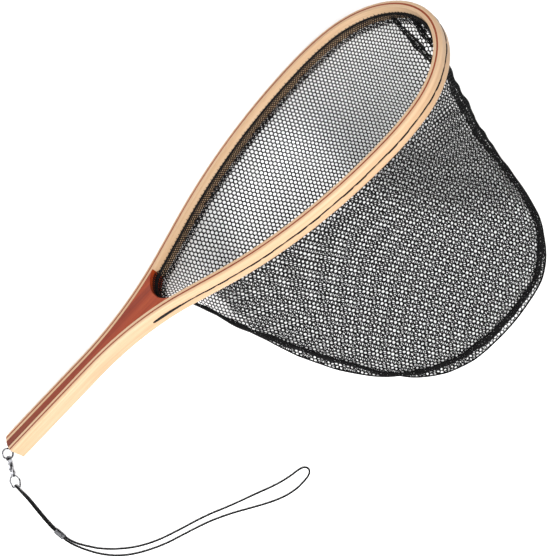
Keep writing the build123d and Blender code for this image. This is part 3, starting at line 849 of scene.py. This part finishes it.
dress(upper_net, black_thread, "net", "net_mesh", "net_upper_panel")

# ---------------------------------------------------------------------------
# gathered mesh: the collar inside the hoop, the bundled seam and the folds at the tip


def mouth_line(count=1400):
    """The hoop's inner face seen square on, once round, with the way inwards at each point."""
    centre = np.array((THROAT_X + THROAT_RADIUS, 0.0))
    turns = np.linspace(pi, pi - THROAT_TURN, 60)
    arc = centre + THROAT_RADIUS * np.column_stack((np.cos(turns), np.sin(turns)))
    lengths = np.linspace(THROAT_LENGTH, HALF_LENGTH, 500)
    flank = np.array([rim_spot(along, INNER_FACE)[:] for along in lengths])
    half = np.vstack((arc, flank[1:]))
    whole = np.vstack((half, half[::-1][1:] * (1, -1)))
    gone = np.concatenate(([0], np.cumsum(np.linalg.norm(np.diff(whole, axis=0), axis=1))))
    even = np.linspace(0, gone[-1], count)
    line = np.column_stack([np.interp(even, gone, whole[:, k]) for k in (0, 1)])
    run = np.gradient(line, axis=0)
    for _ in range(6):
        run[1:-1] = (run[2:] + run[:-2] + run[1:-1]) / 3
    inward = np.column_stack((run[:, 1], -run[:, 0]))
    inward /= np.linalg.norm(inward, axis=1)[:, None]
    return even, line, inward


MOUTH_RUN, MOUTH_SPOTS, MOUTH_IN = mouth_line()
MOUTH_LENGTH = MOUTH_RUN[-1]
HOOP_MATRIX = np.array(hoop)


def in_mouth(run, inset, depth):
    """Points of the row frame from the way round the mouth, inset and depth."""
    run = np.mod(run, MOUTH_LENGTH)
    flat = np.column_stack([np.interp(run, MOUTH_RUN, MOUTH_SPOTS[:, k])
                            + inset * np.interp(run, MOUTH_RUN, MOUTH_IN[:, k]) for k in (0, 1)])
    spots = np.column_stack((flat, np.broadcast_to(depth, len(flat)), np.ones(len(flat))))
    return (spots @ HOOP_MATRIX.T)[:, :3]


def offset_line(line, outwards):
    """A line moved to its right by a distance at each point."""
    run = np.gradient(line, axis=0)
    side = np.column_stack((run[:, 1], -run[:, 0], np.zeros(len(line))))
    side /= np.linalg.norm(side, axis=1)[:, None]
    return line + side * outwards[:, None]


def wander(values, scale, seed):
    """Smooth random numbers of about -1 to 1 along a run."""
    return np.array([noise.noise(Vector((v * scale, seed, 0.3))) * 1.6 for v in values])


def strands(name, lines, width):
    """Threads that follow given lines, all in one piece."""
    curve = bpy.data.curves.new(name, "CURVE")
    curve.dimensions = "3D"
    curve.bevel_depth = width / 2
    curve.bevel_resolution = 1
    curve.use_fill_caps = True
    for line in lines:
        spline = curve.splines.new("POLY")
        spline.points.add(len(line) - 1)
        for point, place in zip(spline.points, line):
            point.co = (*place, 1)
    return new_object(name, curve)


ROW_SHARE = 0.82             # row pitch of gathered mesh, as a share of its pitch
GATHERED_THREAD = 0.75 * MM


def gathered_strip(name, length, width, pitch, hole, shape):
    """A narrow strip of tightly gathered mesh, bent onto a shape(run, across, lift)."""
    row = pitch * ROW_SHARE
    bm = honeycomb(length / pitch, width / row + 1, pitch, row, hole, GATHERED_THREAD)
    flat = read_points(bm)
    flat[:, :2] -= flat[:, :2].min(0)
    write_points(bm, flat)
    middle = face_centres(bm)
    drop_faces(bm, (middle[:, 0] < length) & (middle[:, 1] < width))
    flat = read_points(bm)
    write_points(bm, shape(flat[:, 0], flat[:, 1], flat[:, 2]))
    return knit(bm, name)


COLLAR_WIDTH = 12.5 * MM
COLLAR_RAISE_OVER_SHADE = 5.5 * MM      # how far its upper edge climbs round the throat: partly mesh gathered there, partly a dark sheet that stands in for the shade on the throat's inner face
THROAT_REACH = 0.034         # length of the mouth to each side where it has climbed
CLIMB_LENGTH = 0.008
FOLD_PITCH = 6.5 * MM        # from one gather of the collar to the next
HANG_LENGTH = FRAME_DEPTH / 2 + 0.3 * MM


def collar_shape(run, across, lift):
    away = np.minimum(run, MOUTH_LENGTH - run)
    # round the throat the upper edge climbs the inner face: partly gathered mesh, partly a dark
    # sheet standing in for the shade on that face
    raised = COLLAR_RAISE_OVER_SHADE * np.clip((THROAT_REACH - away) / CLIMB_LENGTH, 0, 1)
    folds = 0.45 * MM * np.sin(2 * pi * run / FOLD_PITCH) + 0.5 * MM * wander(run, 90, 4.0)
    share = np.clip(across / HANG_LENGTH, 0, 1)
    beyond = np.maximum(across - HANG_LENGTH, 0)
    inset = 1.0 * MM + folds * share + lift + beyond * 0.75
    depth = -FRAME_DEPTH / 2 - np.minimum(across, HANG_LENGTH) - beyond * 0.5
    depth += raised * (1 - share)
    return in_mouth(run, inset, depth)


net_collar = gathered_strip("net_collar", MOUTH_LENGTH, COLLAR_WIDTH, 2.5 * MM, (0.5, 0.56),
                            collar_shape)
dress(net_collar, rope_thread, "net", "net_mesh")

ROPE_LAY = 6.5 * MM          # length of one full twist
STRAND_WIDTH = 1.25 * MM
rope_run = np.arange(0, MOUTH_LENGTH, 0.9 * MM)
rope_lines = []
for strand in range(3):
    twist = 2 * pi * (rope_run / ROPE_LAY + strand / 3)
    rope_lines.append(in_mouth(rope_run, (1.2 + 0.6 * np.cos(twist)) * MM,
                               -FRAME_DEPTH / 2 + 0.6 * MM * np.sin(twist)))
headrope = dress(strands("twisted_headrope", rope_lines, STRAND_WIDTH), rope_thread, "net",
                 "net_mesh", "net_headrope")

END_PITCH = 4.2              # millimetres from one cut end to the next
END_HEIGHT = (1.7, 1.1)      # millimetres: the usual height, and how far it varies
END_RADII = (0.62 * MM, 0.2 * MM)
END_TILT = 0.7


def cut_thread_ends():
    """Cut ends of thread that stand up along the headrope."""
    bm = bmesh.new()
    hoop_up = (hoop.to_3x3() @ Vector((0, 0, 1))).to_track_quat("Z", "Y").to_matrix().to_4x4()
    for k in range(int(MOUTH_LENGTH / (END_PITCH * MM))):
        run = (k + 0.35 * noise.noise(Vector((k * 3.7, 0, 0)))) * END_PITCH * MM
        tall = (END_HEIGHT[0] + END_HEIGHT[1] * noise.noise(Vector((k * 1.3, 5, 0)))) * MM
        foot = in_mouth(np.array([run]), 0.75 * MM, -FRAME_DEPTH / 2 + 0.6 * MM + tall / 2)[0]
        tilt = Matrix.Rotation(END_TILT * noise.noise(Vector((k * 2.1, 9, 0))), 4, "X")
        bmesh.ops.create_cone(bm, cap_ends=True, segments=5, radius1=END_RADII[0],
                              radius2=END_RADII[1], depth=tall,
                              matrix=Matrix.Translation(foot) @ hoop_up @ tilt)
    return from_bmesh("thread_ends", bm)


thread_ends = dress(cut_thread_ends(), rope_thread, "net", "net_mesh")


def bundle(name, line, half_width, half_height, pitch, seed, inwards=(0, 0)):
    """Mesh gathered into a flattened roll along a line, half_width given along it."""
    gone = np.concatenate(([0], np.cumsum(np.linalg.norm(np.diff(line, axis=0), axis=1))))
    run_way = np.gradient(line, axis=0)
    side = np.column_stack((run_way[:, 1], -run_way[:, 0], np.zeros(len(line))))
    side /= np.linalg.norm(side, axis=1)[:, None]
    widest = max(half_width)
    girth = pi * (widest + half_height)

    def place(run, sideways, upwards):
        share = run / gone[-1]
        reach = np.interp(share, np.linspace(0, 1, len(half_width)), half_width)
        reach = reach * (1 + 0.25 * wander(run, 70, seed))
        spot = np.column_stack([np.interp(run, gone, line[:, k]) for k in range(3)])
        out = np.column_stack([np.interp(run, gone, side[:, k]) for k in range(3)])
        shift = np.interp(share, np.linspace(0, 1, len(inwards)), inwards)
        spot += out * (sideways * reach - shift + 0.8 * MM * wander(run, 40, seed + 5))[:, None]
        spot[:, 2] += half_height * upwards
        return spot

    def around(run, across, lift):
        turn = 2 * pi * across / girth
        grow = 1 + lift / half_height
        return place(run, np.cos(turn) * grow, np.sin(turn) * grow)

    roll = gathered_strip(name + "_roll", gone[-1], girth, pitch, (0.6, 0.66), around)
    steps = np.arange(0, gone[-1], 3 * MM)
    lines = []
    for k in range(4):
        turn = 2 * pi * (k / 4 + steps / 0.05) + 2 * wander(steps, 60, seed + k)
        grow = 0.85 + 0.25 * wander(steps, 45, seed - k)
        lines.append(place(steps, np.cos(turn) * grow, np.sin(turn) * grow))
    threads = strands(name + "_threads", lines, GATHERED_THREAD)
    return roll, threads


seam_line = edge_line[4:-3].copy()
seam_line[:, 2] += np.interp(np.linspace(0, 1, len(seam_line)), (0.68, 0.78), (2.0, 0.9)) * MM
# the seam's half width, and how far it is drawn in, at even shares of its length
SEAM_REACH = np.array((1.4, 1.9, 1.7, 1.5, 1.7, 2.2, 2.4, 2.3, 2.1, 2.2, 3.4, 4.0, 2.6)) * MM
SEAM_SHIFT = np.array((0.5, 0, 0, 0, 0, 0, 0, 0, 0, 1.0, 3.0, 3.0, 1.5)) * MM
seam_roll, seam_threads = bundle("seam", seam_line, SEAM_REACH, 1.35 * MM, 3.0 * MM, 2.0,
                                 SEAM_SHIFT)
fold_reach = np.interp(np.linspace(0, 1, len(edge_line)), *FOLD_TABLE)
fold_lines = []
for lift, beyond in ((0.8, 0.0), (1.9, 0.5)):
    line = offset_line(edge_line, fold_reach + beyond * MM)[5:-5]
    fold_lines.append(line + (0, 0, lift * MM))
fold_edge = dress(strands("bag_fold_edge", fold_lines, 0.95 * MM), rope_thread, "net", "net_mesh")
dress(seam_roll, rope_thread, "net", "net_mesh")
dress(seam_threads, rope_thread, "net", "net_mesh", "net_seam")

# lines on the ground plan below the tip, and the half width along each
TIP_FOLDS = [
    ([(549.9, 20.7), (543.9, -2.0), (537.3, -23.4), (532.5, -42.6)], (1.2, 2.2, 2.8, 2.0)),
    ([(560.0, 10.0), (550.8, -11.3), (542.2, -33.0)], (1.5, 2.8, 2.2)),
    ([(562.0, 3.0), (556.0, -14.0), (548.0, -28.0)], (2.0, 3.2, 2.4)),
]
tip_folds = []
for k, (spots, reach) in enumerate(TIP_FOLDS):
    ground = np.array([(BUTT_SPOT + Vector((*spot, 0)) * MM)[:] for spot in spots])
    ground[:, 2] = sample(lower_height, ground) + 2 * MM
    fold_line = smooth_line(ground, 30)
    fold_line[:, 2] = sample(lower_height, fold_line) + 2 * MM
    tip_folds += bundle("tip_fold_%d" % (k + 1), fold_line, np.array(reach) * MM, 1.6 * MM,
                        2.4 * MM, 11.0 + k)
for piece in tip_folds:
    dress(piece, rope_thread, "net", "net_mesh")

# ---------------------------------------------------------------------------
# lacing: one cord in the groove of each half, and the loose turns where it starts

LACING_START = 0.1935
HOLE_START = 0.24302
HOLE_PITCH = 26 * MM
FAN_LENGTH = 0.047
FAN_WIDTH = 1.25 * MM         # of the outer loose turns, at the fan's widest
LACING_WIDTH = 1.65 * MM
LACING_JOG = 0.35 * MM       # how far the cord steps aside between one hole and the next
HOLE_DIP = 0.75 * MM         # how deep it dips at a hole
DIP_LENGTH = 1.6 * MM


def lacing_lines(side):
    """One half's cord, then the four loose turns that fan out where it starts."""
    along = np.arange(LACING_START, HALF_LENGTH + 0.5 * MM, 1.5 * MM)
    place = (along - HOLE_START) / HOLE_PITCH
    near_hole = np.exp(-((place - np.round(place)) * HOLE_PITCH / DIP_LENGTH) ** 2)
    near_hole[place < -0.5] = 0
    jog = LACING_JOG * np.where(np.floor(place + 0.5) % 2 == 0, 1, -1) * (1 - near_hole)
    outward = OUTER_FACE - 0.35 * MM - HOLE_DIP * near_hole
    depth = -FRAME_DEPTH / 2 + jog + 0.12 * MM * wander(along, 60, side)
    lines = [[rim_point(a, o, d, side) for a, o, d in zip(along, outward, depth)]]
    share = np.linspace(0, 1, 26)
    fan = 2.1 * share ** 0.4 * (1 - share)
    for k in (-1.0, -0.4, 0.5, 1.0):
        lines.append([rim_point(LACING_START - 0.002 + FAN_LENGTH * t, OUTER_FACE - 0.5 * MM,
                                -FRAME_DEPTH / 2 + k * FAN_WIDTH * f, side)
                      for t, f in zip(share, fan)])
    return lines


dress(strands("lacing_turns", lacing_lines(1) + lacing_lines(-1), LACING_WIDTH), rope_thread,
      "net", "net_mesh", "lacing_cord")
refinish("lacing_stitches", rope_thread)

# ---------------------------------------------------------------------------
# snap hook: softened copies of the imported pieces


def softened(node, name, body, material, slot, width):
    """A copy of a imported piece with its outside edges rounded."""
    copy = merged_copy(node, name)
    bevel = copy.modifiers.new("softened_edges", "BEVEL")
    bevel.width = width
    bevel.segments = 3
    bevel.limit_method = "WEIGHT"
    return dress(copy, material, body, slot, node)


softened("clasp_body", "clasp_body_soft", "clasp", plated_steel, "plated_steel", 0.35 * MM)
softened("clasp_gate", "clasp_gate_soft", "gate", plated_steel, "plated_steel", 0.25 * MM)
softened("swivel_eye", "swivel_eye_soft", "swivel", plated_steel, "plated_steel", 0.25 * MM)

bpy.context.view_layer.update()
